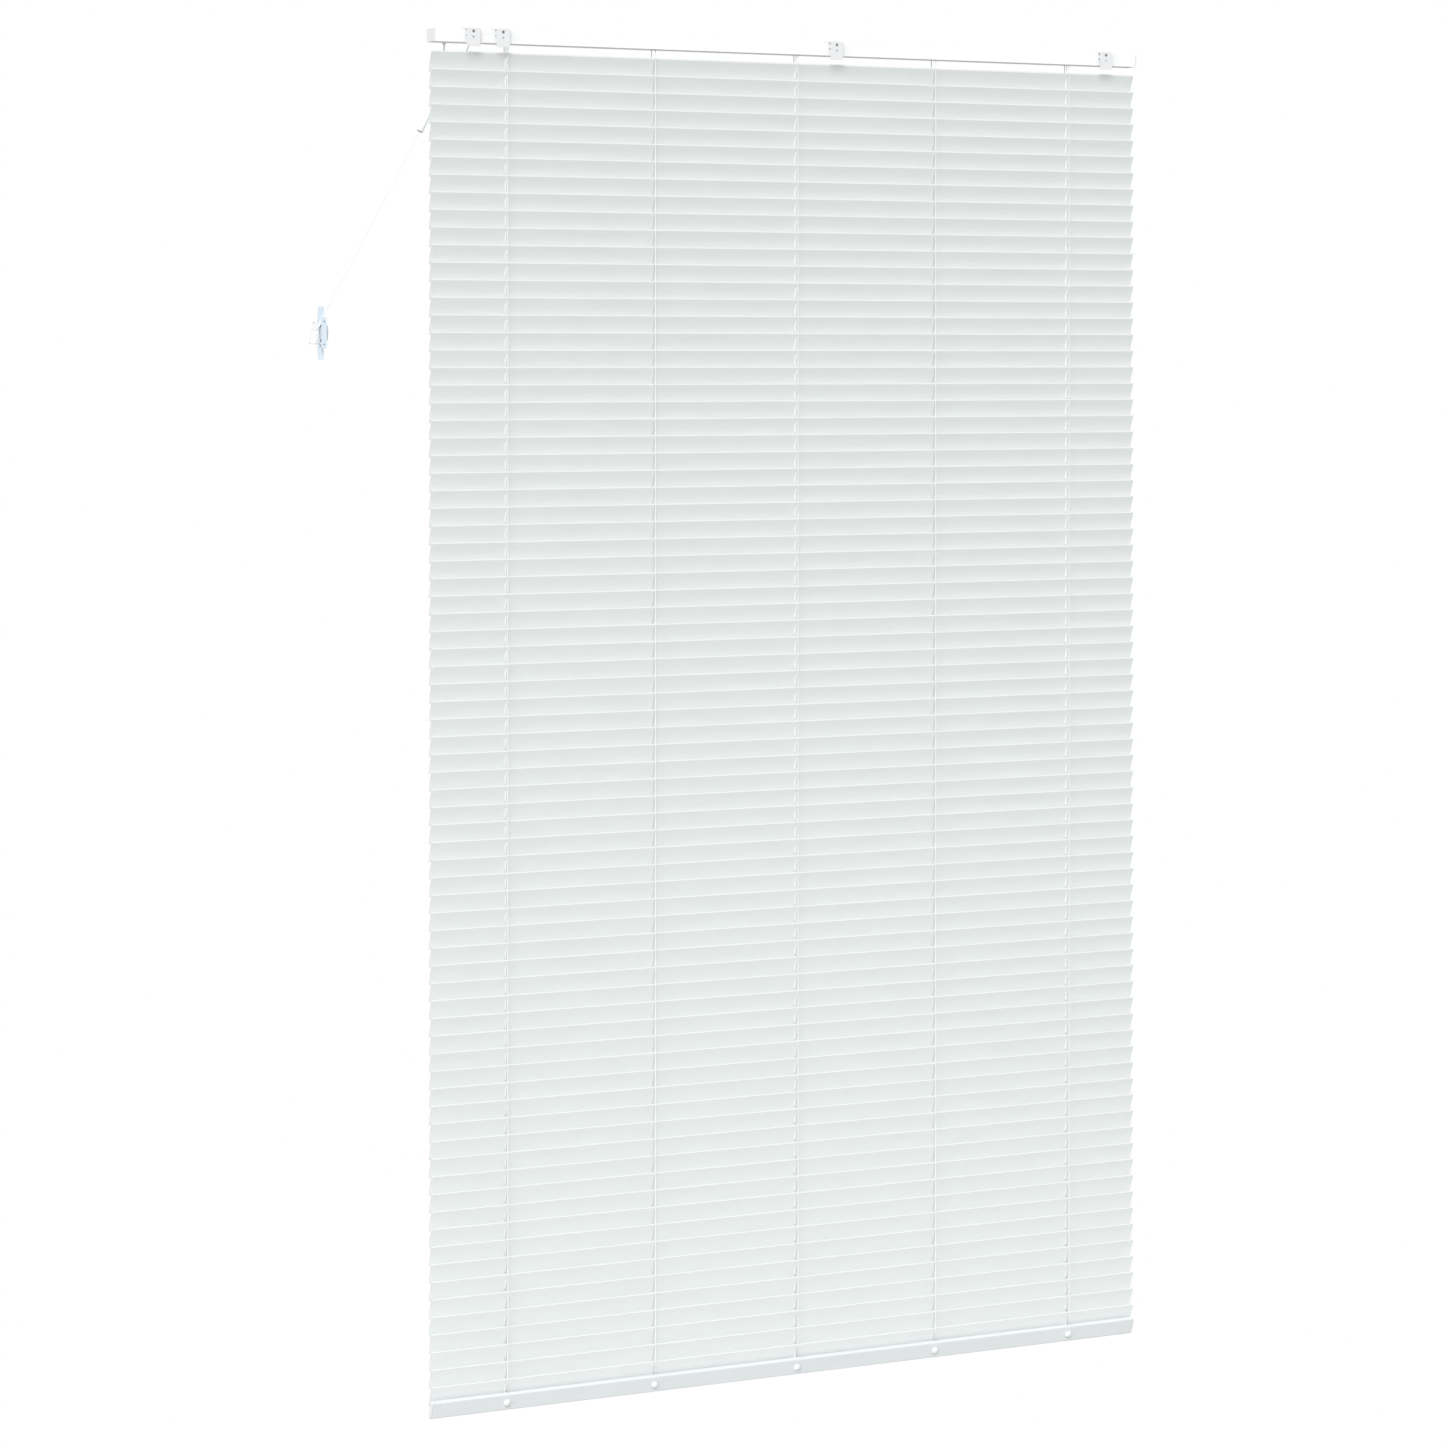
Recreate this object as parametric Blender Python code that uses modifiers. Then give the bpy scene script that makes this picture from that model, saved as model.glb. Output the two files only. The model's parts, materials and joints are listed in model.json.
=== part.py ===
"""A venetian blind, lowered and closed, with its cord held on a wall cleat.

Metres, +Z up. The wall or window is the plane y = 0, and the room is at -Y.
The origin is on the back of bracket 3. "left" is the cord's end, at +X.
"""

import math

import bmesh
import bpy
from mathutils import Matrix, Vector

# Slats
SLAT_COUNT = 77
SLAT_PITCH = 0.0278
SLAT_LENGTH = 1.300
SLAT_WIDTH = 0.035
SLAT_THICKNESS = 0.0006
SLAT_CROWN = 0.0013
SLAT_ARC_STEPS = 4
SLAT_LEAN = math.radians(20)
FIRST_SLAT_Z = -0.0333
TURNING_EVERY = 3
SLOT_LENGTH = 0.020
SLOT_WIDTH = 0.004

# Where the blind hangs
LEFT_X = 0.715
CENTRE_Y = -0.0225
GAP = 0.0003

# Headrail
RAIL_DEPTH = 0.030
RAIL_TOP = 0.018
RAIL_BOTTOM = -0.003
RAIL_WALL = 0.0012
RAIL_LIP = 0.004
CAP_PLATE = 0.002
CAP_PLUG = 0.008

# Brackets, measured along the headrail from its left end
BRACKETS_AT = (0.065, 0.116, 0.715, 1.235)
BRACKET_WIDTH = 0.023
BRACKET_SHEET = 0.0015
BRACKET_FOOT = -0.0095
BRACKET_HOLES = ((0.0145, 0.0026), (0.0055, 0.0015))

# Ladders and the cords through the slats
LADDERS_AT = (0.130, 0.390, 0.650, 0.910, 1.170)
LIFT_LADDERS = (0, 2, 4)
LADDER_CORD_RADIUS = 0.0007
LADDER_REACH = 0.0075
LIFT_CORD_RADIUS = 0.0006

# Tilt rod and its drums
ROD_Z = 0.008
ROD_RADIUS = 0.003
ROD_FROM, ROD_TO = 0.038, 1.200
DRUM_RADIUS = 0.0065
DRUM_LENGTH = 0.014
SADDLE_SHEET = 0.0015

# Tilter and wand
TILTER_AT = 0.036
WAND_Y = -0.053
STEM_RADIUS = 0.003
HOOK_RADIUS = 0.0014
WAND_RADIUS = 0.004
WAND_END_Z = -0.650

# Cord lock
LOCK_AT = 0.075
ROLLER_Y = -0.041
ROLLER_Z = 0.0055
ROLLER_RADIUS = 0.0032
ROLLER_LENGTH = 0.007
ROLLER_PIN_RADIUS = 0.0012

# Bottom rail
SILL_WIDTH = 0.030
SILL_THICKNESS = 0.008
SILL_WALL = 0.0012
SILL_Z = -2.1669
BUTTON_RADIUS = 0.006
BUTTON_STEM_RADIUS = 0.002

# Pull cord, in the room's own places
CORD_RADIUS = 0.0008
CLEAT_X = 0.9015
CLEAT_Z = -0.4645
CLEAT_WIDTH = 0.008
CONNECTOR_CENTRE = Vector((0.717, -0.046, -0.132))
CORD_LANDS = Vector((0.9070, -0.0104, -0.4516))
COIL_TURNS = 3
COIL_HALF_WIDTH = 0.0078
COIL_HALF_HEIGHT = 0.0185
COIL_FROM_Y, COIL_TO_Y = -0.0103, -0.0047
COIL_START = math.radians(40)
TASSEL_TOP = Vector((0.9015, -0.040, -0.456))

LEAN_FRAME = Matrix(
    (
        (0, 0, 1, 0),
        (math.sin(SLAT_LEAN), -math.cos(SLAT_LEAN), 0, 0),
        (math.cos(SLAT_LEAN), math.sin(SLAT_LEAN), 0, 0),
        (0, 0, 0, 1),
    )
)
ALONG_X = Matrix(((0, 0, 1, 0), (1, 0, 0, 0), (0, 1, 0, 0), (0, 0, 0, 1)))
MID_X = LEFT_X - SLAT_LENGTH / 2


def at(distance):
    """X of a place measured from the left end."""
    return LEFT_X - distance


def slat_z(index):
    return FIRST_SLAT_Z - index * SLAT_PITCH


# ---------------------------------------------------------------- tools


def new_collection(name):
    made = bpy.data.collections.new(name)
    bpy.context.scene.collection.children.link(made)
    return made


def principled(name, colour, roughness, metallic=0.0):
    made = bpy.data.materials.new(name)
    made.use_nodes = True
    shader = made.node_tree.nodes["Principled BSDF"]
    shader.inputs["Base Color"].default_value = (*colour, 1)
    shader.inputs["Roughness"].default_value = roughness
    shader.inputs["Metallic"].default_value = metallic
    made.diffuse_color = (*colour, 1)
    return made


def link(obj, material=None):
    PARTS.objects.link(obj)
    if material:
        obj.data.materials.clear()
        obj.data.materials.append(material)
    return obj


def from_bmesh(name, work, frame=None):
    mesh = bpy.data.meshes.new(name)
    bmesh.ops.recalc_face_normals(work, faces=work.faces)
    work.to_mesh(mesh)
    work.free()
    made = bpy.data.objects.new(name, mesh)
    made.matrix_world = frame or Matrix.Identity(4)
    return made


def as_mesh(obj):
    """The object's evaluated shape as a plain mesh object at the same place."""
    bpy.context.view_layer.update()
    graph = bpy.context.evaluated_depsgraph_get()
    mesh = bpy.data.meshes.new_from_object(obj.evaluated_get(graph))
    work = bmesh.new()
    work.from_mesh(mesh)
    bmesh.ops.remove_doubles(work, verts=work.verts, dist=1e-6)
    name, frame = obj.name, obj.matrix_world.copy()
    bpy.data.meshes.remove(mesh)
    bpy.data.objects.remove(obj, do_unlink=True)
    return from_bmesh(name, work, frame)


def extrusion(name, outlines, length, frame):
    """A closed outline, with any holes after it, drawn out along its local Z."""
    curve = bpy.data.curves.new(name, "CURVE")
    curve.dimensions = "2D"
    curve.fill_mode = "BOTH"
    curve.extrude = length / 2
    for outline in outlines:
        spline = curve.splines.new("POLY")
        spline.points.add(len(outline) - 1)
        for point, (x, y) in zip(spline.points, outline):
            point.co = (x, y, 0, 1)
        spline.use_cyclic_u = True
    made = bpy.data.objects.new(name, curve)
    made.matrix_world = frame
    bpy.context.scene.collection.objects.link(made)
    return as_mesh(made)


def box(name, low, high):
    low, high = Vector(low), Vector(high)
    work = bmesh.new()
    bmesh.ops.create_cube(work, size=1)
    bmesh.ops.scale(work, vec=high - low, verts=work.verts)
    return from_bmesh(name, work, Matrix.Translation((low + high) / 2))


def cylinder(name, radius, start, end, segments=16):
    start, end = Vector(start), Vector(end)
    work = bmesh.new()
    bmesh.ops.create_cone(
        work,
        cap_ends=True,
        segments=segments,
        radius1=radius,
        radius2=radius,
        depth=(end - start).length,
    )
    turn = (end - start).to_track_quat("Z", "Y").to_matrix().to_4x4()
    return from_bmesh(name, work, Matrix.Translation((start + end) / 2) @ turn)


def turned(name, profile, frame, steps=16):
    """A profile of (radius, height) pairs, from the top down, turned about local Z."""
    mesh = bpy.data.meshes.new(name)
    points = [(radius, 0, height) for radius, height in profile]
    mesh.from_pydata(points, [(i, i + 1) for i in range(len(points) - 1)], [])
    made = bpy.data.objects.new(name, mesh)
    made.matrix_world = frame
    bpy.context.scene.collection.objects.link(made)
    screw = made.modifiers.new("Turn", "SCREW")
    screw.steps = screw.render_steps = steps
    screw.use_merge_vertices = True
    screw.merge_threshold = 0.00001
    return smooth(as_mesh(made))


def cord(name, points, radius, resolution=1):
    curve = bpy.data.curves.new(name, "CURVE")
    curve.dimensions = "3D"
    curve.bevel_depth = radius
    curve.bevel_resolution = resolution
    curve.use_fill_caps = True
    spline = curve.splines.new("POLY")
    spline.points.add(len(points) - 1)
    for point, place in zip(spline.points, points):
        point.co = (*place, 1)
    made = bpy.data.objects.new(name, curve)
    bpy.context.scene.collection.objects.link(made)
    return smooth(as_mesh(made))


def smooth(obj):
    for face in obj.data.polygons:
        face.use_smooth = True
    return obj


def joined(name, objects):
    """Several meshes in one object, each where it stood."""
    work = bmesh.new()
    for obj in objects:
        copy = obj.data.copy()
        copy.transform(obj.matrix_world)
        work.from_mesh(copy)
        bpy.data.meshes.remove(copy)
        bpy.data.objects.remove(obj, do_unlink=True)
    return from_bmesh(name, work)


def boolean(obj, tools, operation="DIFFERENCE"):
    """An exact Boolean with each tool, which stays hidden in the cutters' collection."""
    for tool in tools:
        tool.name = f"{obj.name}_{operation.lower()}_{len(obj.modifiers)}"
        tool.hide_render = True
        tool.display_type = "WIRE"
        CUTTERS.objects.link(tool)
        step = obj.modifiers.new(tool.name, "BOOLEAN")
        step.operation = operation
        step.solver = "EXACT"
        step.object = tool
    return obj


# ---------------------------------------------------------------- headrail


def make_headrail():
    half, wall = RAIL_DEPTH / 2, RAIL_WALL
    inner, top, floor = half - wall, RAIL_TOP - wall, RAIL_BOTTOM + wall
    right_side = [
        (half, RAIL_BOTTOM),
        (half, RAIL_TOP),
        (half - RAIL_LIP, RAIL_TOP),
        (half - RAIL_LIP, top),
        (inner, top),
        (inner, floor),
    ]
    left_side = [(-y, z) for y, z in reversed(right_side)]
    length = SLAT_LENGTH - 2 * (CAP_PLATE + GAP)
    frame = Matrix.Translation((MID_X, CENTRE_Y, 0)) @ ALONG_X
    rail = extrusion("headrail", [right_side + left_side], length, frame)
    saddles = []
    for place in LADDERS_AT:
        x = at(place) - DRUM_LENGTH / 2 - 0.002
        saddles.append(
            box(
                "saddle",
                (x - SADDLE_SHEET, CENTRE_Y - 0.006, floor - wall / 2),
                (x, CENTRE_Y + 0.006, ROD_Z + 0.001),
            )
        )
    boolean(rail, saddles, "UNION")
    tools = [
        cylinder(
            "rod_way",
            ROD_RADIUS + GAP,
            (at(LADDERS_AT[-1]) - 0.030, CENTRE_Y, ROD_Z),
            (at(LADDERS_AT[0]) + 0.030, CENTRE_Y, ROD_Z),
        )
    ]
    for place in LADDERS_AT:
        x = at(place)
        low = (x - 0.0035, CENTRE_Y - 0.010, RAIL_BOTTOM - 0.002)
        high = (x + 0.0035, CENTRE_Y + 0.010, floor + 0.001)
        tools.append(box("ladder_slot", low, high))
    front = CENTRE_Y - half
    for place, reach, low_z, high_z in (
        (TILTER_AT, 0.007, -0.001, 0.011),
        (LOCK_AT, 0.008, -0.001, 0.0105),
    ):
        x = at(place)
        low = (x - reach - GAP, front - 0.003, low_z - GAP)
        high = (x + reach + GAP, front + 0.003, high_z + GAP)
        tools.append(box("nose_window", low, high))
    boolean(rail, tools)
    return link(rail, principled("headrail", (0.86, 0.87, 0.87), 0.35))


def make_headrail_cap(name, end, inward):
    """The plate over the channel's end, with a plug inside it."""
    half = RAIL_DEPTH / 2
    inner = half - RAIL_WALL - GAP
    outside, face = sorted((end, end + inward * CAP_PLATE))
    plate = box(
        name,
        (outside, CENTRE_Y - half, RAIL_BOTTOM),
        (face, CENTRE_Y + half, RAIL_TOP),
    )
    far = end + inward * (CAP_PLATE + CAP_PLUG)
    low_x, high_x = sorted((end + inward * CAP_PLATE / 2, far))
    plug = box(
        "plug",
        (low_x, CENTRE_Y - inner, RAIL_BOTTOM + RAIL_WALL + GAP),
        (high_x, CENTRE_Y + inner, RAIL_TOP - RAIL_WALL - GAP),
    )
    boolean(plate, [plug], "UNION")
    return link(plate, principled(name, (0.84, 0.85, 0.85), 0.45))


def make_bracket(number, place):
    """A sheet-metal holder: wall plate, spacer rib, top flange and front lip."""
    sheet = BRACKET_SHEET
    back = CENTRE_Y + RAIL_DEPTH / 2 + GAP
    front = CENTRE_Y - RAIL_DEPTH / 2 - GAP
    under = RAIL_TOP + GAP
    outline = [
        (0, BRACKET_FOOT),
        (0, under + sheet),
        (front - sheet, under + sheet),
        (front - sheet, RAIL_TOP - 0.0065),
        (front, RAIL_TOP - 0.0065),
        (front, under),
        (-sheet, under),
        (-sheet, 0.0110),
        (back, 0.0110),
        (back, 0.0095),
        (-sheet, 0.0095),
        (-sheet, BRACKET_FOOT),
    ]
    frame = Matrix.Translation((at(place), 0, 0)) @ ALONG_X
    bracket = extrusion(f"bracket_{number}", [outline], BRACKET_WIDTH, frame)
    holes = [
        cylinder(
            "screw_hole",
            radius,
            (at(place), -sheet - 0.001, z),
            (at(place), 0.001, z),
        )
        for z, radius in BRACKET_HOLES
    ]
    boolean(bracket, holes)
    return link(bracket, principled(bracket.name, (0.80, 0.81, 0.82), 0.4))


# ---------------------------------------------------------------- tilt drive


def make_tilt_rod():
    """The rod, turned in one with the five drums that carry the ladders."""
    half = DRUM_LENGTH / 2
    profile = [(0, -ROD_FROM), (ROD_RADIUS, -ROD_FROM)]
    for place in LADDERS_AT:
        profile += [
            (ROD_RADIUS, -place + half),
            (DRUM_RADIUS, -place + half),
            (DRUM_RADIUS, -place - half),
            (ROD_RADIUS, -place - half),
        ]
    profile += [(ROD_RADIUS, -ROD_TO), (0, -ROD_TO)]
    frame = Matrix.Translation((LEFT_X, CENTRE_Y, ROD_Z)) @ Matrix.Rotation(
        math.pi / 2, 4, "Y"
    )
    rod = turned("tilt_rod", profile, frame)
    return link(rod, principled("tilt_rod", (0.62, 0.63, 0.64), 0.3, 0.9))


def make_tilter():
    x = at(TILTER_AT)
    housing = box(
        "tilter_housing",
        (x - 0.012, CENTRE_Y - 0.0125, RAIL_BOTTOM + RAIL_WALL + GAP),
        (x + 0.012, CENTRE_Y + 0.0125, 0.0155),
    )
    nose = box(
        "nose", (x - 0.007, WAND_Y - 0.006, -0.001), (x + 0.007, CENTRE_Y, 0.011)
    )
    boolean(housing, [nose], "UNION")
    boolean(
        housing,
        [
            cylinder(
                "rod_bore",
                ROD_RADIUS + GAP,
                (at(ROD_FROM) + 0.002, CENTRE_Y, ROD_Z),
                (x - 0.014, CENTRE_Y, ROD_Z),
            ),
            cylinder(
                "stem_bore", STEM_RADIUS + GAP, (x, WAND_Y, -0.003), (x, WAND_Y, 0.013)
            ),
        ],
    )
    return link(housing, principled("tilter_housing", (0.78, 0.79, 0.80), 0.45))


def make_wand():
    """The stem, its hook, the coupling and the rod below it, on one axis."""
    profile = [
        (0, 0.0135),
        (0.0048, 0.0135),
        (0.0048, 0.0113),
        (STEM_RADIUS, 0.0113),
        (STEM_RADIUS, -0.0035),
        (HOOK_RADIUS, -0.0050),
        (HOOK_RADIUS, -0.0190),
        (0.0045, -0.0210),
        (0.0045, -0.0290),
        (WAND_RADIUS, -0.0320),
        (WAND_RADIUS, WAND_END_Z + 0.090),
        (0.0055, WAND_END_Z + 0.075),
        (0.0055, WAND_END_Z + 0.010),
        (0.0035, WAND_END_Z),
        (0, WAND_END_Z),
    ]
    frame = Matrix.Translation((at(TILTER_AT), WAND_Y, 0))
    wand = turned("tilt_wand", profile, frame, 12)
    return link(wand, principled("tilt_wand", (0.82, 0.83, 0.84), 0.25))


# ---------------------------------------------------------------- cord lock


def make_cord_lock():
    x = at(LOCK_AT)
    housing = box("cord_lock", (x - 0.011, -0.0360, -0.0015), (x + 0.011, -0.0262, 0.0145))
    nose = box("nose", (x - 0.008, -0.0500, -0.001), (x + 0.008, -0.0300, 0.0105))
    boolean(housing, [nose], "UNION")
    boolean(
        housing,
        [
            box("well", (x - 0.0045, -0.0485, 0.0010), (x + 0.0045, -0.0280, 0.0200)),
            box("mouth", (x - 0.0025, -0.0475, -0.0040), (x + 0.0025, -0.0433, 0.0020)),
            cylinder(
                "pin_bore",
                ROLLER_PIN_RADIUS + GAP,
                (x - 0.0070, ROLLER_Y, ROLLER_Z),
                (x + 0.0070, ROLLER_Y, ROLLER_Z),
                12,
            ),
        ],
    )
    return link(housing, principled("cord_lock", (0.78, 0.79, 0.80), 0.45))


def make_lock_roller():
    half, pin = ROLLER_LENGTH / 2, ROLLER_LENGTH / 2 + 0.0028
    profile = [
        (0, pin),
        (ROLLER_PIN_RADIUS, pin),
        (ROLLER_PIN_RADIUS, half),
        (ROLLER_RADIUS, half),
        (ROLLER_RADIUS - 0.0006, 0),
        (ROLLER_RADIUS, -half),
        (ROLLER_PIN_RADIUS, -half),
        (ROLLER_PIN_RADIUS, -pin),
        (0, -pin),
    ]
    frame = Matrix.Translation((at(LOCK_AT), ROLLER_Y, ROLLER_Z)) @ Matrix.Rotation(
        math.pi / 2, 4, "Y"
    )
    roller = turned("cord_lock_roller", profile, frame)
    return link(roller, principled("cord_lock_roller", (0.75, 0.62, 0.35), 0.3, 0.9))


# ---------------------------------------------------------------- slats


def slat_outline():
    """A shallow arch of even thickness, convex towards local +Y."""
    ws = [SLAT_WIDTH * (i / SLAT_ARC_STEPS - 0.5) for i in range(SLAT_ARC_STEPS + 1)]
    arch = [(w, SLAT_CROWN * (1 - (2 * w / SLAT_WIDTH) ** 2)) for w in ws]
    half = SLAT_THICKNESS / 2
    upper = [(w, n + half) for w, n in reversed(arch)]
    return [(w, n - half) for w, n in arch] + upper


def slat_frame(index):
    return Matrix.Translation((MID_X, CENTRE_Y, slat_z(index))) @ LEAN_FRAME


def plain_slat(name, index):
    return extrusion(name, [slat_outline()], SLAT_LENGTH, slat_frame(index))


def make_turning_slats():
    """Every third slat stands alone on its own axis, with slots for the lift cords."""
    pattern = plain_slat("pattern", 0)
    bpy.context.scene.collection.objects.link(pattern)
    slots = []
    for ladder in LIFT_LADDERS:
        middle = at(LADDERS_AT[ladder]) - MID_X
        slot = box(
            "slot",
            (-SLOT_LENGTH / 2, -0.004, middle - SLOT_WIDTH / 2),
            (SLOT_LENGTH / 2, 0.008, middle + SLOT_WIDTH / 2),
        )
        slot.matrix_world = slat_frame(0) @ slot.matrix_world
        slots.append(slot)
    boolean(pattern, slots)
    pattern = as_mesh(pattern)
    for tool in list(CUTTERS.objects):
        if tool.name.startswith("pattern"):
            bpy.data.objects.remove(tool, do_unlink=True)
    material = principled("slat", (0.84, 0.86, 0.86), 0.4)
    for index in range(TURNING_EVERY - 1, SLAT_COUNT, TURNING_EVERY):
        slat = bpy.data.objects.new(f"slat_{index + 1:02d}", pattern.data)
        slat.matrix_world = slat_frame(index)
        link(slat)
    pattern.data.materials.append(material)
    bpy.data.objects.remove(pattern, do_unlink=True)


def make_slat_bank():
    """The other slats, held on the three lift cords as one body."""
    slats = [
        plain_slat("slat", index)
        for index in range(SLAT_COUNT)
        if index % TURNING_EVERY != TURNING_EVERY - 1
    ]
    bank = joined("slats_on_lift_cords", slats)
    foot = SILL_Z + SILL_WIDTH / 2 * math.cos(SLAT_LEAN) + 0.0021
    cords = [
        cylinder(
            "lift_cord",
            LIFT_CORD_RADIUS,
            (at(LADDERS_AT[ladder]), CENTRE_Y, foot),
            (at(LADDERS_AT[ladder]), CENTRE_Y, ROD_Z - DRUM_RADIUS - 0.0005),
            6,
        )
        for ladder in LIFT_LADDERS
    ]
    boolean(bank, [joined("lift_cords", cords)], "UNION")
    return link(bank, principled("slats_on_lift_cords", (0.84, 0.86, 0.86), 0.4))


# ---------------------------------------------------------------- ladders


def make_ladder_cords():
    """Each ladder has a cord down the window side and one down the room side."""
    lean = math.tan(SLAT_LEAN)
    half_w = SILL_WIDTH / 2 * math.cos(SLAT_LEAN)
    top_of_sill = SILL_Z + half_w - SILL_THICKNESS / 2 * math.sin(SLAT_LEAN)
    back_offset = LADDER_REACH - SILL_THICKNESS / 2 / math.cos(SLAT_LEAN)
    sides = (
        ("window", 1, top_of_sill + 0.0028),
        ("room", -1, SILL_Z - (back_offset - LADDER_CORD_RADIUS) / lean + 0.001),
    )
    material = principled("ladder_cord", (0.88, 0.89, 0.89), 0.8)
    for side, sign, foot in sides:
        for number, place in enumerate(LADDERS_AT, 1):
            y = CENTRE_Y + sign * LADDER_REACH
            ends = [(at(place), y, ROD_Z), (at(place), y, foot)]
            made = cord(f"ladder_cord_{side}_{number}", ends, LADDER_CORD_RADIUS)
            link(made, material)


# ---------------------------------------------------------------- bottom rail


def rounded(width, height, radius, steps=3):
    """A rectangle with round corners, about its centre."""
    points = []
    for corner in range(4):
        angle = corner * math.pi / 2
        sign_x = 1 if corner in (0, 3) else -1
        sign_y = 1 if corner in (0, 1) else -1
        for step in range(steps + 1):
            turn = angle + step / steps * math.pi / 2
            x = sign_x * (width / 2 - radius) + radius * math.cos(turn)
            y = sign_y * (height / 2 - radius) + radius * math.sin(turn)
            points.append((x, y))
    return points


def sill_frame(x=MID_X):
    return Matrix.Translation((x, CENTRE_Y, SILL_Z)) @ LEAN_FRAME


def make_bottom_rail():
    outer = rounded(SILL_WIDTH, SILL_THICKNESS, 0.0025)
    inner = rounded(SILL_WIDTH - 2 * SILL_WALL, SILL_THICKNESS - 2 * SILL_WALL, 0.0013)
    length = SLAT_LENGTH - 2 * (CAP_PLATE + GAP)
    rail = extrusion("bottom_rail", [outer, inner], length, sill_frame())
    holes = [
        cylinder(
            "button_hole",
            BUTTON_STEM_RADIUS + GAP,
            sill_frame(at(place)) @ Vector((0, -0.006, 0)),
            sill_frame(at(place)) @ Vector((0, -0.001, 0)),
            12,
        )
        for place in LADDERS_AT
    ]
    boolean(rail, holes)
    return link(rail, principled("bottom_rail", (0.83, 0.84, 0.85), 0.35))


def make_bottom_rail_cap(name, end, inward):
    plate = extrusion(
        name,
        [rounded(SILL_WIDTH, SILL_THICKNESS, 0.0025)],
        CAP_PLATE,
        sill_frame(end + inward * CAP_PLATE / 2),
    )
    margin = 2 * (SILL_WALL + GAP)
    plug_length = CAP_PLUG + CAP_PLATE / 2
    plug = extrusion(
        "plug",
        [rounded(SILL_WIDTH - margin, SILL_THICKNESS - margin, 0.001)],
        plug_length,
        sill_frame(end + inward * (CAP_PLATE / 2 + plug_length / 2)),
    )
    boolean(plate, [plug], "UNION")
    return link(plate, principled(name, (0.82, 0.83, 0.84), 0.45))


def make_rail_buttons():
    """Plugs that trap each ladder's end in the bottom rail."""
    face = SILL_THICKNESS / 2 + GAP
    profile = [
        (0, face + 0.0045),
        (0.0030, face + 0.0042),
        (0.0050, face + 0.0030),
        (BUTTON_RADIUS, face + 0.0010),
        (BUTTON_RADIUS, face),
        (BUTTON_STEM_RADIUS, face),
        (BUTTON_STEM_RADIUS, face - 0.0030),
        (0, face - 0.0030),
    ]
    towards_window = Matrix.Rotation(math.pi / 2, 4, "X")
    for number, place in enumerate(LADDERS_AT, 1):
        frame = sill_frame(at(place)) @ towards_window
        button = turned(f"rail_button_{number}", profile, frame)
        link(button, principled(button.name, (0.86, 0.87, 0.87), 0.4))


# ---------------------------------------------------------------- pull cord


def pull_cord_route():
    """Out of the lock, through the connector to the cleat, round it, and to the tassel."""
    x = at(LOCK_AT)
    points = [
        Vector((x, -0.0456, 0.0060)),
        Vector((x, -0.0456, -0.0060)),
        Vector((x + 0.0020, -0.0456, -0.0110)),
    ]
    lock_exit = points[-1].copy()
    points += [lock_exit.lerp(CONNECTOR_CENTRE, share) for share in (0.35, 0.7, 1.0)]
    points += [CONNECTOR_CENTRE.lerp(CORD_LANDS, share) for share in (0.25, 0.5, 0.75, 0.97)]
    steps = COIL_TURNS * 12
    for step in range(steps + 1):
        turn = COIL_START - 2 * math.pi * step / 12
        points.append(
            Vector(
                (
                    CLEAT_X + COIL_HALF_WIDTH * math.cos(turn),
                    COIL_FROM_Y + (COIL_TO_Y - COIL_FROM_Y) * step / steps,
                    CLEAT_Z + COIL_HALF_HEIGHT * math.sin(turn),
                )
            )
        )
    points += [
        Vector((0.9105, -0.0052, -0.4566)),
        Vector((0.9135, -0.0100, -0.4596)),
        Vector((0.9137, -0.0180, -0.4570)),
        Vector((0.9120, -0.0270, -0.4515)),
        Vector((0.9070, -0.0360, -0.4475)),
        Vector((0.9030, -0.0393, -0.4480)),
        TASSEL_TOP + Vector((0, 0, 0.0045)),
        TASSEL_TOP + Vector((0, 0, -0.0060)),
    ]
    return points


def make_pull_cord():
    made = cord("pull_cord", pull_cord_route(), CORD_RADIUS)
    return link(made, principled("pull_cord", (0.88, 0.89, 0.89), 0.8))


def make_connector():
    """A tapered sleeve where the cord is gathered."""
    bore = 0.0024
    profile = [
        (bore, 0.0140),
        (0.0034, 0.0140),
        (0.0042, 0.0060),
        (0.0050, -0.0100),
        (0.0050, -0.0140),
        (bore, -0.0140),
        (bore, 0.0140),
    ]
    up = (CONNECTOR_CENTRE - CORD_LANDS).to_track_quat("Z", "Y").to_matrix().to_4x4()
    made = turned("cord_connector", profile, Matrix.Translation(CONNECTOR_CENTRE) @ up)
    return link(made, principled("cord_connector", (0.80, 0.81, 0.82), 0.35))


def make_tassel():
    bore = CORD_RADIUS + GAP
    profile = [
        (bore, 0.0),
        (0.0045, 0.0),
        (0.0060, -0.0050),
        (0.0098, -0.0210),
        (0.0102, -0.0235),
        (0.0096, -0.0260),
        (0, -0.0260),
        (0, -0.0090),
        (bore, -0.0090),
        (bore, 0.0),
    ]
    made = turned("pull_tassel", profile, Matrix.Translation(TASSEL_TOP))
    return link(made, principled("pull_tassel", (0.80, 0.81, 0.82), 0.35))


def make_cleat():
    """A wall plate, a neck and two horns, cut from one outline."""
    upper = [
        (0, 0.024),
        (-0.003, 0.024),
        (-0.0035, 0.010),
        (-0.0125, 0.010),
        (-0.0140, 0.024),
        (-0.0130, 0.0415),
        (-0.0165, 0.0415),
        (-0.0205, 0.020),
    ]
    lower = [(y, -z) for y, z in reversed(upper)]
    frame = Matrix.Translation((CLEAT_X, 0, CLEAT_Z)) @ ALONG_X
    cleat = extrusion("cord_cleat", [upper + lower], CLEAT_WIDTH, frame)
    holes = [
        cylinder(
            "screw_hole",
            0.0016,
            (CLEAT_X, -0.0045, CLEAT_Z + z),
            (CLEAT_X, 0.001, CLEAT_Z + z),
            12,
        )
        for z in (-0.018, 0.018)
    ]
    boolean(cleat, holes)
    return link(cleat, principled("cord_cleat", (0.80, 0.83, 0.86), 0.4))


# ---------------------------------------------------------------- the blind

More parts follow.
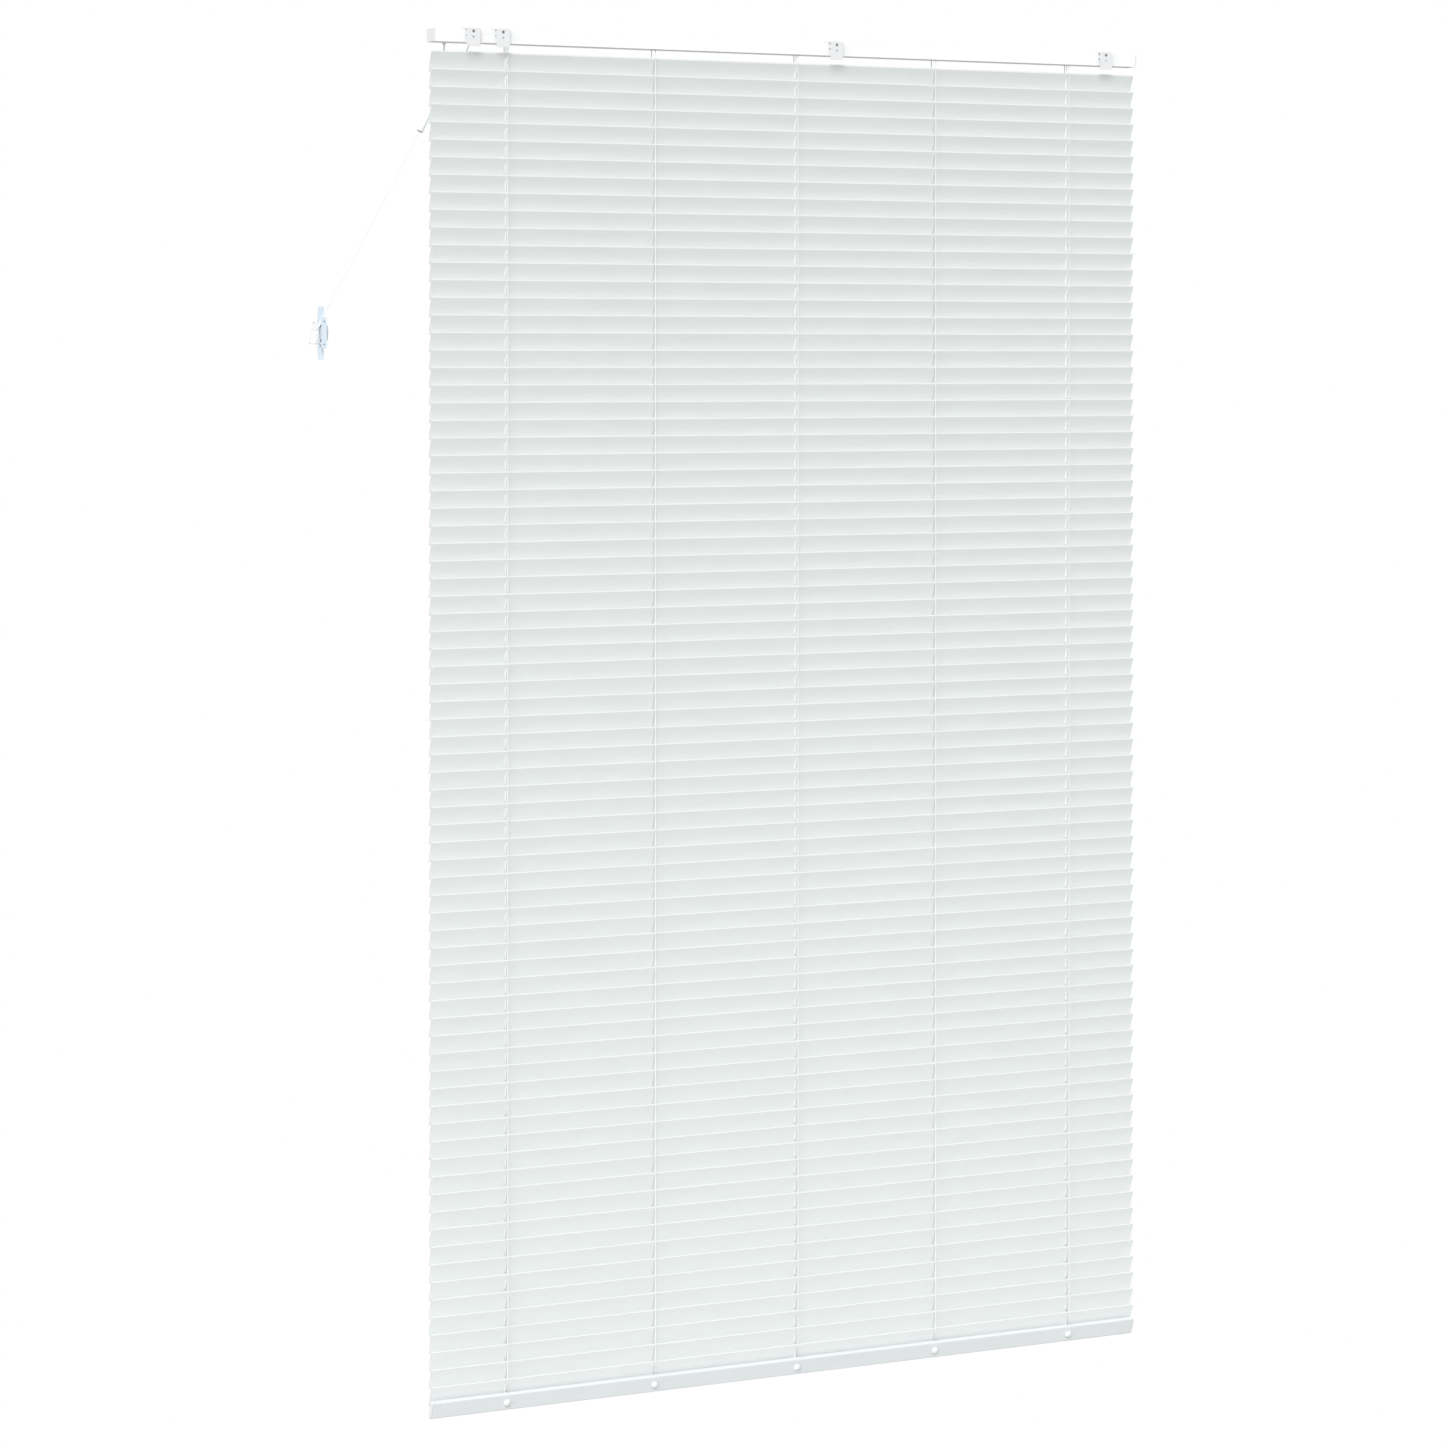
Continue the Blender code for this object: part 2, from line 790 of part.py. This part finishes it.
for old in list(bpy.data.objects):
    bpy.data.objects.remove(old, do_unlink=True)
PARTS = new_collection("venetian_blind")
CUTTERS = new_collection("cutters")
CUTTERS.hide_render = True

RIGHT_X = LEFT_X - SLAT_LENGTH
make_headrail()
make_headrail_cap("headrail_cap_left", LEFT_X, -1)
make_headrail_cap("headrail_cap_right", RIGHT_X, 1)
for bracket_number, bracket_place in enumerate(BRACKETS_AT, 1):
    make_bracket(bracket_number, bracket_place)
make_tilt_rod()
make_tilter()
make_wand()
make_cord_lock()
make_lock_roller()
make_turning_slats()
make_slat_bank()
make_ladder_cords()
make_bottom_rail()
make_bottom_rail_cap("bottom_rail_cap_left", LEFT_X, -1)
make_bottom_rail_cap("bottom_rail_cap_right", RIGHT_X, 1)
make_rail_buttons()
make_pull_cord()
make_connector()
make_tassel()
make_cleat()
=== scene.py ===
import json
import math

import bmesh
import bpy
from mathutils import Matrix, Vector


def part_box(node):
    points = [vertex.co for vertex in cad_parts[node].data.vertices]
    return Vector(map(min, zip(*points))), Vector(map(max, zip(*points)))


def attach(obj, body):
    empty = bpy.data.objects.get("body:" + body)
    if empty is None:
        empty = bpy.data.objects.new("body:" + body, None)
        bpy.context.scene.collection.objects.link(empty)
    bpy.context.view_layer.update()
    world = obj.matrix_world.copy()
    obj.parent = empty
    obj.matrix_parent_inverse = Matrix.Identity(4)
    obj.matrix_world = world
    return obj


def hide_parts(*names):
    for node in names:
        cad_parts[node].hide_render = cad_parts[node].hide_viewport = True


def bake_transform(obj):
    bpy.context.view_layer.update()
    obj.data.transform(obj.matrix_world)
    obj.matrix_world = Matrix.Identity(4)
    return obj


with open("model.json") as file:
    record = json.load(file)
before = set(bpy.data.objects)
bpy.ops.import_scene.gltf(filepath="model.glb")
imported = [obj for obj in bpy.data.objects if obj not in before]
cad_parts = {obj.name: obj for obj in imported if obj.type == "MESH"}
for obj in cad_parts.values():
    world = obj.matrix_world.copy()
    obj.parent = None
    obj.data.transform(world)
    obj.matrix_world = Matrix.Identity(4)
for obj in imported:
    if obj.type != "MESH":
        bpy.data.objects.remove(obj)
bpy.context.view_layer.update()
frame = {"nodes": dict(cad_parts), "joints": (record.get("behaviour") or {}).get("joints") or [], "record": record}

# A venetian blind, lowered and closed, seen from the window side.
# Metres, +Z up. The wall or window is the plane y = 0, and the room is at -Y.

JOINTS = {joint["name"]: joint for joint in frame["joints"]}

# Slats. Their places come from the axes of the ones that turn alone.
SLAT_COUNT = 77
FIRST_AXIS, SECOND_AXIS = (
    Vector(JOINTS[name]["pos_m"]) for name in ("slat_03_tilt", "slat_06_tilt")
)
SLAT_PITCH = (FIRST_AXIS.z - SECOND_AXIS.z) / 3
TOP_AXIS_Z = FIRST_AXIS.z + 2 * SLAT_PITCH
CENTRE_Y = FIRST_AXIS.y
SLAT_LOW, SLAT_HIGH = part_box("slat_03")
SLAT_LEAN = math.radians(20)
SLAT_HALF_WIDTH = 0.0175
SLAT_THICKNESS = 0.0005
SLAT_CROWN = 0.0013
SUBDIVIDED_CROWN = 0.69
SLOT_HALF_LENGTH = 0.010
SLOT_HALF_WIDTH = 0.0020
UP_THE_SLAT = Vector((0, math.sin(SLAT_LEAN), math.cos(SLAT_LEAN)))
OFF_THE_SLAT = Vector((0, -math.cos(SLAT_LEAN), math.sin(SLAT_LEAN)))

# Ladders, from the left: cords 1, 3 and 5 have a lift cord beside them.
LADDER_X = [
    sum(corner[0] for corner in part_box(f"ladder_cord_window_{number}")) / 2
    for number in range(1, 6)
]
LIFT_LADDERS = (0, 2, 4)
LADDER_REACH = 0.0075
LADDER_CORD_RADIUS = 0.0007
KNOT_RADIUS = 0.00080
RUNG_RADIUS = 0.00020
RUNG_SPREAD = 0.0006
RUNG_DROP = 0.0005
LIFT_CORD_RADIUS = 0.0006
DRUM_Z = JOINTS["tilt"]["pos_m"][2]
FIRST_EDGE_Z = TOP_AXIS_Z + SLAT_HALF_WIDTH * math.cos(SLAT_LEAN)
SILL_Z = JOINTS["bottom_rail_tilt"]["pos_m"][2]

# Pull cord: the CAD's own places
CORD_RADIUS = 0.0008
LOCK_X = JOINTS["roller_spin"]["pos_m"][0]
CLEAT_X, CLEAT_Z = 0.9015, -0.4645
CONNECTOR_CENTRE = Vector((0.717, -0.046, -0.132))
CORD_LANDS = Vector((0.9070, -0.0104, -0.4516))
COIL_TURNS = 3
COIL_HALF_WIDTH, COIL_HALF_HEIGHT = 0.0078, 0.0185
COIL_FROM_Y, COIL_TO_Y = -0.0103, -0.0047
COIL_START = math.radians(40)
TASSEL_TOP = Vector((0.9015, -0.040, -0.456))


def slat_z(index):
    return TOP_AXIS_Z - index * SLAT_PITCH


# ---------------------------------------------------------------- camera


def make_camera():
    """The photograph's view: level, from the window side, framed low."""
    data = bpy.data.cameras.new("camera")
    data.sensor_width = 36
    data.lens = 101.85
    data.shift_y = -0.2506
    data.clip_end = 60
    camera = bpy.data.objects.new("camera", data)
    bpy.context.scene.collection.objects.link(camera)
    camera.location = (3.154, 5.981, -0.507)
    forward = Vector((-0.4415, -0.8973, 0))
    camera.rotation_euler = forward.to_track_quat("-Z", "Y").to_euler()
    bpy.context.scene.camera = camera


make_camera()


# ---------------------------------------------------------------- materials


class Finish:
    """One Principled material, with short ways to add and link its nodes."""

    def __init__(self, name, colour, roughness, metallic=0.0, **sockets):
        self.material = bpy.data.materials.new(name)
        self.material.use_nodes = True
        self.tree = self.material.node_tree
        self.shader = self.tree.nodes["Principled BSDF"]
        self.set("Base Color", (*colour, 1))
        self.set("Roughness", roughness)
        self.set("Metallic", metallic)
        for socket, value in sockets.items():
            self.set(socket.replace("_", " "), value)

    def set(self, socket, value):
        self.shader.inputs[socket].default_value = value

    def link(self, source, socket):
        self.tree.links.new(source, self.shader.inputs[socket])

    def add(self, kind, inputs, **settings):
        node = self.tree.nodes.new(kind)
        for key, value in settings.items():
            setattr(node, key, value)
        for key, value in inputs.items():
            if isinstance(value, bpy.types.NodeSocket):
                self.tree.links.new(value, node.inputs[key])
            else:
                node.inputs[key].default_value = value
        return node

    def places(self, output, scale):
        """The surface's own coordinates, scaled on each axis."""
        source = self.add("ShaderNodeTexCoord", {}).outputs[output]
        made = self.add("ShaderNodeMapping", {"Vector": source, "Scale": scale})
        return made.outputs["Vector"]

    def noise(self, places, scale=1.0, detail=3.0, roughness=0.55):
        made = self.add(
            "ShaderNodeTexNoise",
            {"Vector": places, "Scale": scale, "Detail": detail, "Roughness": roughness},
        )
        return made.outputs["Fac"]

    def between(self, factor, low, high, start=0.3, stop=0.7):
        """A number that goes from low to high as factor goes from start to stop."""
        made = self.add(
            "ShaderNodeMapRange",
            {"Value": factor, "From Min": start, "From Max": stop, "To Min": low, "To Max": high},
        )
        return made.outputs["Result"]

    def tint(self, factor, low, high, start=0.3, stop=0.7):
        ramp = self.add("ShaderNodeValToRGB", {"Fac": factor})
        ramp.color_ramp.elements[0].position = start
        ramp.color_ramp.elements[0].color = (*low, 1)
        ramp.color_ramp.elements[1].position = stop
        ramp.color_ramp.elements[1].color = (*high, 1)
        return ramp.outputs["Color"]

    def rim(self, body, start, stop, colour):
        """Goes from body to colour where V goes from start to stop: a painted highlight band along a rim."""
        source = self.add("ShaderNodeTexCoord", {}).outputs["UV"]
        across = self.add("ShaderNodeSeparateXYZ", {"Vector": source}).outputs["Y"]
        share = self.between(across, 0.0, 1.0, start, stop)
        mixed = self.add("ShaderNodeMix", {0: share, 6: body, 7: (*colour, 1)}, data_type="RGBA")
        return mixed.outputs[2]

    def bump(self, heights):
        """Several (height, depth in metres) pairs, one on top of another."""
        normal = None
        for height, depth in heights:
            inputs = {"Height": height, "Distance": depth, "Strength": 1.0}
            if normal:
                inputs["Normal"] = normal
            normal = self.add("ShaderNodeBump", inputs).outputs["Normal"]
        self.link(normal, "Normal")


def shade(colour, share):
    return tuple(channel * share for channel in colour)


def lacquer(name, output, colour, edge=None):
    """Stove lacquer on rolled strip: drawn out along X, orange peel, a little dust.

    edge is where, across the strip, a near-white band is painted on: a painted highlight along the strip's rim.
    """
    finish = Finish(
        name, colour, 0.38, Specular_IOR_Level=0.5, Coat_Weight=0.12, Coat_Roughness=0.2
    )
    along = finish.noise(finish.places(output, (2.5, 90, 90)), detail=4)
    peel = finish.noise(finish.places(output, (900, 900, 900)), detail=2)
    dust = finish.noise(finish.places(output, (9, 26, 26)), detail=8, roughness=0.7)
    body = finish.tint(dust, shade(colour, 0.97), colour, 0.30, 0.62)
    # Painted highlight: the base colour turns near white in a thin band near the top rim.
    if edge:
        body = finish.rim(body, *edge)
    finish.link(body, "Base Color")
    finish.link(finish.between(along, 0.32, 0.46), "Roughness")
    finish.bump([(along, 0.00006), (peel, 0.000012)])
    return finish.material


def moulded(name, colour, roughness=0.42, transmission=0.0):
    """Injection-moulded plastic: spark-eroded grain, flow lines, handling marks."""
    finish = Finish(name, colour, roughness, Specular_IOR_Level=0.45)
    if transmission:
        finish.set("Transmission Weight", transmission)
        finish.set("IOR", 1.5)
    grain = finish.noise(finish.places("Object", (2600, 2600, 2600)), detail=2)
    flow = finish.noise(finish.places("Object", (60, 60, 25)), detail=5)
    marks = finish.noise(finish.places("Object", (240, 240, 240)), detail=8, roughness=0.75)
    finish.link(finish.tint(flow, shade(colour, 0.95), colour), "Base Color")
    finish.link(finish.between(marks, roughness - 0.07, roughness + 0.09), "Roughness")
    finish.bump([(flow, 0.00003), (grain, 0.000010)])
    return finish.material


def braided(name, output, colour, per_metre_along, per_turn):
    """A braid: two sets of strands that cross, from two diagonal waves."""
    finish = Finish(name, colour, 0.78, Specular_IOR_Level=0.25, Sheen_Weight=0.25)
    waves = []
    for sign in (1, -1):
        places = finish.places(output, (per_metre_along, sign * per_turn, per_metre_along))
        wave = finish.add(
            "ShaderNodeTexWave",
            {"Vector": places, "Scale": 1.0, "Distortion": 0.6, "Detail": 1.0},
            bands_direction="DIAGONAL",
        )
        waves.append(wave.outputs["Fac"])
    braid = finish.add(
        "ShaderNodeMath", {0: waves[0], 1: waves[1]}, operation="MAXIMUM"
    ).outputs["Value"]
    fuzz = finish.noise(finish.places("Object", (3200, 3200, 3200)), detail=4)
    # Painted shade: the base colour is darker where the braid sinks between the strands, following the same waves
    # that drive the bump.
    finish.link(finish.tint(braid, shade(colour, 0.86), colour, 0.2, 0.8), "Base Color")
    finish.bump([(braid, 0.00012), (fuzz, 0.00003)])
    return finish.material


def drawn_metal(name, colour, roughness):
    """Plated steel or brass, turned round X: rings, and a cloudy plating."""
    finish = Finish(name, colour, roughness, metallic=1.0)
    rings = finish.noise(finish.places("Object", (5200, 40, 40)), detail=3)
    cloud = finish.noise(finish.places("Object", (130, 130, 130)), detail=6, roughness=0.7)
    finish.link(finish.tint(cloud, shade(colour, 0.84), colour), "Base Color")
    finish.link(finish.between(cloud, roughness - 0.06, roughness + 0.14), "Roughness")
    finish.bump([(rings, 0.00002)])
    return finish.material


def powder_coat(name, colour):
    """Powder on pressed sheet: a fine pebble, and patches a little greyer here and there."""
    finish = Finish(name, colour, 0.5, Specular_IOR_Level=0.5)
    pebble = finish.noise(finish.places("Object", (1500, 1500, 1500)), detail=2)
    patch = finish.noise(finish.places("Object", (160, 160, 160)), detail=7, roughness=0.7)
    finish.link(finish.tint(patch, shade(colour, 0.93), colour), "Base Color")
    finish.link(finish.between(patch, 0.44, 0.58), "Roughness")
    finish.bump([(pebble, 0.00003)])
    return finish.material


WHITE = (0.87, 0.875, 0.88)
SLAT_GREY = (0.775, 0.805, 0.80)
FINISHES = {
    "lacquered_rail": lacquer("rail lacquer", "Object", WHITE),
    # The slats' finish has a painted highlight: a near-white band near the top rim of each slat.
    "slat_lacquer": lacquer("slat lacquer with painted highlight", "UV", SLAT_GREY, (0.0153, 0.0160, (0.96, 0.97, 0.97))),
    "bracket_sheet": powder_coat("bracket coat", (0.74, 0.75, 0.76)),
    "white_plastic": moulded("white plastic", (0.77, 0.78, 0.785)),
    "cleat_plastic": moulded("cleat plastic", (0.64, 0.73, 0.81), 0.3),
    "wand_plastic": moulded("wand plastic", (0.74, 0.76, 0.78), 0.22),
    "white_cord": braided("white cord", "UV", (0.90, 0.92, 0.915), 900, 3),
    "rod_steel": drawn_metal("plated steel", (0.56, 0.57, 0.59), 0.34),
    "roller_brass": drawn_metal("brass", (0.74, 0.58, 0.30), 0.26),
}


# Parts whose colour isn't that of the rest of their slot: the pull cord is a greyer braid, and the bottom rail is
# a darker copy of the rail lacquer, painted shade for the less light on its leaning face.
OWN_TONES_AND_PAINTED_SHADE = {
    # Painted shade: the bottom rail's lacquer is the rail lacquer made darker.
    "bottom_rail": lacquer("bottom rail lacquer, painted shade", "Object", (0.68, 0.71, 0.72)),
    "pull_cord_braid": braided("pull cord", "UV", (0.80, 0.82, 0.82), 1100, 3),
}


def finished(piece, slot):
    """Gives a new piece one of the record's finishes."""
    piece.data.materials.clear()
    piece.data.materials.append(FINISHES[slot])
    return piece


# ---------------------------------------------------------------- tools


def mesh_piece(name, points, faces, uvs, slot):
    """A smooth mesh whose UVs are given for each point."""
    mesh = bpy.data.meshes.new(name)
    mesh.from_pydata(points, [], faces)
    layer = mesh.uv_layers.new(name="UVMap")
    for loop in mesh.loops:
        layer.data[loop.index].uv = uvs[loop.vertex_index]
    for face in mesh.polygons:
        face.use_smooth = True
    piece = bpy.data.objects.new(name, mesh)
    bpy.context.scene.collection.objects.link(piece)
    return finished(piece, slot)


class Tubes:
    """Straight or bent tubes gathered in one mesh, each a run of (point, radius) rings."""

    def __init__(self, sides):
        self.sides = sides
        self.points, self.faces, self.uvs = [], [], []

    def add(self, rings):
        rings = [(Vector(point), radius) for point, radius in rings]
        first = len(self.points)
        along = 0.0
        side = Vector((1, 0, 0))
        for number, (point, radius) in enumerate(rings):
            before = rings[max(number - 1, 0)][0]
            after = rings[min(number + 1, len(rings) - 1)][0]
            heading = (after - before).normalized()
            across = heading.cross(side).normalized()
            out = across.cross(heading).normalized()
            along += (point - before).length
            for step in range(self.sides):
                turn = 2 * math.pi * step / self.sides
                self.points.append(
                    point + radius * (math.cos(turn) * out + math.sin(turn) * across)
                )
                self.uvs.append((along, abs(2 * step / self.sides - 1)))
        for ring in range(len(rings) - 1):
            for step in range(self.sides):
                low = first + ring * self.sides
                beside = (step + 1) % self.sides
                self.faces.append(
                    (
                        low + step,
                        low + beside,
                        low + self.sides + beside,
                        low + self.sides + step,
                    )
                )
        last = first + (len(rings) - 1) * self.sides
        self.faces.append(tuple(first + step for step in reversed(range(self.sides))))
        self.faces.append(tuple(last + step for step in range(self.sides)))

    def piece(self, name, slot):
        return mesh_piece(name, self.points, self.faces, self.uvs, slot)


# ---------------------------------------------------------------- slats


def make_slot_cutter():
    """Boxes that clear the lift cords' slots whether the slat stands or lies."""
    work = bmesh.new()
    for ladder in LIFT_LADDERS:
        box = bmesh.ops.create_cube(work, size=2)["verts"]
        size = (SLOT_HALF_WIDTH, SLOT_HALF_LENGTH, SLOT_HALF_LENGTH * math.cos(SLAT_LEAN))
        bmesh.ops.scale(work, vec=size, verts=box)
        bmesh.ops.translate(work, vec=(LADDER_X[ladder], 0, 0), verts=box)
    mesh = bpy.data.meshes.new("slot_cutter")
    work.to_mesh(mesh)
    work.free()
    return mesh


def make_slat(index, cutter_mesh):
    """A thin arched strip. Three rows of points are enough for it to tilt exactly."""
    name = f"slat_{index + 1:02d}_strip"
    middle = Vector((0, CENTRE_Y, slat_z(index)))
    crown = SLAT_CROWN / SUBDIVIDED_CROWN
    rows = ((SLAT_HALF_WIDTH, 0), (0, crown), (-SLAT_HALF_WIDTH, 0))
    ends = (SLAT_LOW[0], SLAT_HIGH[0])
    points, uvs = [], []
    for width, height in rows:
        place = middle + width * UP_THE_SLAT + height * OFF_THE_SLAT
        for x in ends:
            points.append((x, place.y, place.z))
            uvs.append((x + 1.7 * index, width))
    slat = mesh_piece(name, points, [(0, 1, 3, 2), (2, 3, 5, 4)], uvs, "slat_lacquer")

    cutter = bpy.data.objects.new(f"slot_cutter_{index + 1:02d}", cutter_mesh)
    bpy.context.scene.collection.objects.link(cutter)
    cutter.location = middle
    cutter.hide_render = cutter.hide_viewport = True

    arch = slat.modifiers.new("Arch", "SUBSURF")
    arch.levels = arch.render_levels = 2
    arch.boundary_smooth = "PRESERVE_CORNERS"
    strip = slat.modifiers.new("Thickness", "SOLIDIFY")
    strip.thickness = SLAT_THICKNESS
    strip.offset = 0
    slots = slat.modifiers.new("Slots", "BOOLEAN")
    slots.object = cutter
    slots.solver = "EXACT"
    slat.modifiers.new("Flat faces", "WEIGHTED_NORMAL")

    node = f"slat_{index + 1:02d}"
    if node in frame["nodes"]:
        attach(slat, node)
        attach(cutter, node)
        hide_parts(node)
    else:
        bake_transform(slat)
        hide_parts("slats_on_lift_cords")


slot_cutter = make_slot_cutter()
for slat_index in range(SLAT_COUNT):
    make_slat(slat_index, slot_cutter)


# ---------------------------------------------------------------- ladders


def make_ladder_cord(side, number):
    """One side of a ladder, with a knot where each rung leaves it."""
    sign = 1 if side == "window" else -1
    node = f"ladder_cord_{side}_{number}"
    x, y = LADDER_X[number - 1], CENTRE_Y + sign * LADDER_REACH
    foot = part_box(node)[0][2]
    knots = [
        slat_z(index) + sign * SLAT_HALF_WIDTH * math.cos(SLAT_LEAN) - RUNG_DROP
        for index in range(SLAT_COUNT)
    ]
    heights = [(DRUM_Z, LADDER_CORD_RADIUS)]
    for z in knots:
        if z - 0.002 > foot:
            heights += [
                (z + 0.0016, LADDER_CORD_RADIUS),
                (z, KNOT_RADIUS),
                (z - 0.0016, LADDER_CORD_RADIUS),
            ]
    heights.append((foot, LADDER_CORD_RADIUS))
    tubes = Tubes(8)
    tubes.add([((x, y, z), radius) for z, radius in heights])
    cord = tubes.piece(f"{node}_braid", "white_cord")
    # Half way between the two sides is a place that stays still, at the drum.
    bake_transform(cord)
    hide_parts(node)


def make_rungs(number):
    """The pairs of thin strands that each slat lies on, from cord to cord along its face."""
    x = LADDER_X[number - 1]
    tubes = Tubes(5)
    for index in range(SLAT_COUNT):
        middle = Vector((x, CENTRE_Y, slat_z(index))) - RUNG_DROP * OFF_THE_SLAT
        edge = SLAT_HALF_WIDTH * UP_THE_SLAT
        for spread in (-RUNG_SPREAD, RUNG_SPREAD):
            aside = Vector((spread, 0, 0))
            upper, lower = middle + edge + aside, middle - edge + aside
            knots = [upper.copy(), lower.copy()]
            knots[0].y, knots[1].y = CENTRE_Y + LADDER_REACH, CENTRE_Y - LADDER_REACH
            places = (knots[0], upper, lower, knots[1])
            tubes.add([(place, RUNG_RADIUS) for place in places])
    rungs = tubes.piece(f"ladder_rungs_{number}", "white_cord")
    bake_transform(rungs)


def make_lift_cord(ladder):
    """Down through every slat's slot to the middle of the bottom rail."""
    x = LADDER_X[ladder]
    tubes = Tubes(8)
    tubes.add(
        [
            ((x, CENTRE_Y, z), LIFT_CORD_RADIUS)
            for z in (0.0, FIRST_EDGE_Z, SILL_Z / 2, SILL_Z)
        ]
    )
    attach(tubes.piece(f"lift_cord_{ladder + 1}", "white_cord"), "headrail")


for ladder_number in range(1, 6):
    make_ladder_cord("window", ladder_number)
    make_ladder_cord("room", ladder_number)
    make_rungs(ladder_number)
for lift_ladder in LIFT_LADDERS:
    make_lift_cord(lift_ladder)


# ---------------------------------------------------------------- pull cord


def pull_cord_route():
    """Out of the lock, through the connector to the cleat, round it, and to the tassel."""
    points = [
        Vector((LOCK_X, -0.0456, 0.0060)),
        Vector((LOCK_X, -0.0456, -0.0060)),
        Vector((LOCK_X + 0.0020, -0.0456, -0.0110)),
    ]
    lock_exit = points[-1].copy()
    points += [lock_exit.lerp(CONNECTOR_CENTRE, share) for share in (0.35, 0.7, 1.0)]
    points += [CONNECTOR_CENTRE.lerp(CORD_LANDS, share) for share in (0.25, 0.5, 0.75, 0.97)]
    steps = COIL_TURNS * 12
    for step in range(steps + 1):
        turn = COIL_START - 2 * math.pi * step / 12
        points.append(
            Vector(
                (
                    CLEAT_X + COIL_HALF_WIDTH * math.cos(turn),
                    COIL_FROM_Y + (COIL_TO_Y - COIL_FROM_Y) * step / steps,
                    CLEAT_Z + COIL_HALF_HEIGHT * math.sin(turn),
                )
            )
        )
    points += [
        Vector((0.9105, -0.0052, -0.4566)),
        Vector((0.9135, -0.0100, -0.4596)),
        Vector((0.9137, -0.0180, -0.4570)),
        Vector((0.9120, -0.0270, -0.4515)),
        Vector((0.9070, -0.0360, -0.4475)),
        Vector((0.9030, -0.0393, -0.4480)),
        TASSEL_TOP + Vector((0, 0, 0.0045)),
        TASSEL_TOP + Vector((0, 0, -0.0060)),
    ]
    return points


def make_pull_cord():
    curve = bpy.data.curves.new("pull_cord_braid", "CURVE")
    curve.dimensions = "3D"
    curve.bevel_depth = CORD_RADIUS
    curve.bevel_resolution = 3
    curve.resolution_u = 6
    curve.use_fill_caps = True
    route = pull_cord_route()
    spline = curve.splines.new("BEZIER")
    spline.bezier_points.add(len(route) - 1)
    for point, place in zip(spline.bezier_points, route):
        point.co = place
        point.handle_left_type = point.handle_right_type = "AUTO"
    cord = bpy.data.objects.new("pull_cord_braid", curve)
    bpy.context.scene.collection.objects.link(cord)
    curve.materials.append(OWN_TONES_AND_PAINTED_SHADE[cord.name])
    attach(cord, "headrail")
    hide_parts("pull_cord")


make_pull_cord()


# ---------------------------------------------------------------- carried-over parts


def finish_nodes():
    """The CAD nodes that still show get their finish, soft edges and smooth rounds."""
    for part in frame["record"]["subparts"]:
        node = frame["nodes"][part["node"]]
        if node.hide_render:
            continue
        node.data.materials.clear()
        finish = OWN_TONES_AND_PAINTED_SHADE.get(part["node"], FINISHES[part["material_slot"]])
        node.data.materials.append(finish)
        for face in node.data.polygons:
            face.use_smooth = True
            face.material_index = 0
        node.data.set_sharp_from_angle(angle=math.radians(35))


finish_nodes()


# ---------------------------------------------------------------- the room


SKY, UNDERFOOT = 1.03, 0.48
KEY_FROM = Vector((0.42, 0.74, 0.53))
FLOOR_Z = -2.9


def make_world():
    """A white studio to look at, which lights more from above than from below."""
    world = bpy.data.worlds.new("studio")
    world.use_nodes = True
    tree = world.node_tree
    seen = tree.nodes["Background"]
    seen.inputs["Color"].default_value = (1, 1, 1, 1)
    seen.inputs["Strength"].default_value = 1.0
    lighting = tree.nodes.new("ShaderNodeBackground")
    places = tree.nodes.new("ShaderNodeTexCoord")
    height = tree.nodes.new("ShaderNodeSeparateXYZ")
    strength = tree.nodes.new("ShaderNodeMapRange")
    strength.inputs["From Min"].default_value = -0.4
    strength.inputs["From Max"].default_value = 0.4
    strength.inputs["To Min"].default_value = UNDERFOOT
    strength.inputs["To Max"].default_value = SKY
    path = tree.nodes.new("ShaderNodeLightPath")
    mix = tree.nodes.new("ShaderNodeMixShader")
    tree.links.new(places.outputs["Generated"], height.inputs["Vector"])
    tree.links.new(height.outputs["Z"], strength.inputs["Value"])
    tree.links.new(strength.outputs["Result"], lighting.inputs["Strength"])
    tree.links.new(path.outputs["Is Camera Ray"], mix.inputs["Fac"])
    tree.links.new(lighting.outputs["Background"], mix.inputs[1])
    tree.links.new(seen.outputs["Background"], mix.inputs[2])
    tree.links.new(mix.outputs["Shader"], tree.nodes["World Output"].inputs["Surface"])
    bpy.context.scene.world = world
    bpy.context.scene.view_settings.view_transform = "Standard"


def make_sun(name, towards, strength, spread):
    data = bpy.data.lights.new(name, "SUN")
    data.energy = strength
    data.angle = math.radians(spread)
    sun = bpy.data.objects.new(name, data)
    bpy.context.scene.collection.objects.link(sun)
    sun.rotation_euler = towards.to_track_quat("Z", "Y").to_euler()


def make_floor():
    """A round pale floor, which ends short of what the photograph's view takes in."""
    bpy.ops.mesh.primitive_cylinder_add(
        vertices=128, radius=2.0, depth=0.02, location=(0.6, 1.2, FLOOR_Z - 0.01)
    )
    floor = bpy.context.object
    floor.name = "floor"
    paint = Finish("floor paint", (0.56, 0.56, 0.56), 0.9, Specular_IOR_Level=0.1)
    floor.data.materials.append(paint.material)


make_world()
make_sun("key", KEY_FROM, 2.1, 25)
make_sun("side", Vector((0.95, 0.25, 0.20)), 0.8, 50)
make_sun("room side", Vector((-0.45, -0.75, 0.45)), 1.0, 40)
make_floor()
